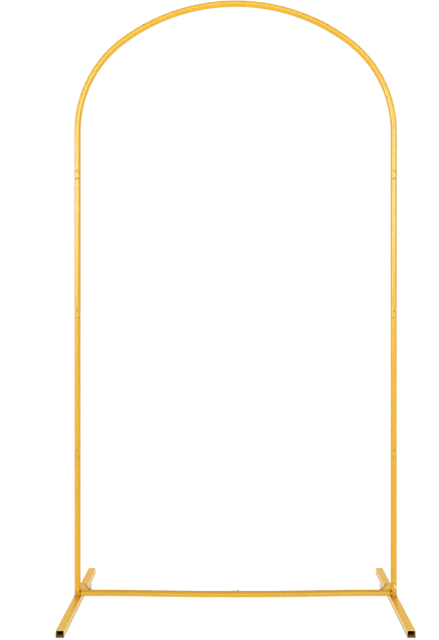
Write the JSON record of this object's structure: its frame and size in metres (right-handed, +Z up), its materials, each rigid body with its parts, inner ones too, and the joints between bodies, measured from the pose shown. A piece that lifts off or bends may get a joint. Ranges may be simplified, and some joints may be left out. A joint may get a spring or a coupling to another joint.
{
  "type": "balloon arch stand",
  "caption": "Free-standing round topped arch frame of gold painted round tube in sleeved sections, with a low crossbar and box tube feet, its joints clamped by wing bolts.",
  "frame": {"origin": "on the floor, midway between the two legs and under the plane of the arch", "axes": "+X from the left leg to the right leg, +Y from the front of the stand to its back, +Z up"},
  "size_m": [1.183, 0.5, 2.2],
  "materials": {
    "gold_paint": "satin gold powder coat",
    "bar_gold_paint": "satin gold powder coat",
    "foot_gold_paint": "matt gold powder coat",
    "dark_screw": "dark bronze screw",
    "zinc_plate": "zinc plated"
  },
  "bodies": {
    "root": {"arch_crown_tube": "gold_paint", "arch_shoulder_tube_left": "gold_paint", "arch_shoulder_tube_right": "gold_paint", "leg_upper_pole_left": "gold_paint", "leg_upper_pole_right": "gold_paint", "leg_middle_pole_left": "gold_paint", "leg_middle_pole_right": "gold_paint", "leg_lower_pole_left": "gold_paint", "leg_lower_pole_right": "gold_paint", "base_socket_left": "gold_paint", "base_socket_right": "gold_paint", "gusset_left": "gold_paint", "gusset_right": "gold_paint", "socket_nut_left": "gold_paint", "socket_nut_right": "gold_paint", "stub_nut_left": "gold_paint", "stub_nut_right": "gold_paint", "crossbar_half_left": "bar_gold_paint", "crossbar_half_right": "bar_gold_paint", "crossbar_stub_left": "bar_gold_paint", "crossbar_stub_right": "bar_gold_paint", "foot_tube_left": "foot_gold_paint", "foot_tube_right": "foot_gold_paint", "crown_screw_left": "dark_screw", "crown_screw_right": "dark_screw", "shoulder_screw_left": "dark_screw", "shoulder_screw_right": "dark_screw", "upper_pole_screw_left": "dark_screw", "upper_pole_screw_right": "dark_screw", "middle_pole_screw_left": "dark_screw", "middle_pole_screw_right": "dark_screw", "crossbar_screw": "dark_screw", "socket_wing_bolt_left": "zinc_plate", "socket_wing_bolt_right": "zinc_plate", "stub_wing_bolt_left": "zinc_plate", "stub_wing_bolt_right": "zinc_plate"}
  },
  "joints": []
}
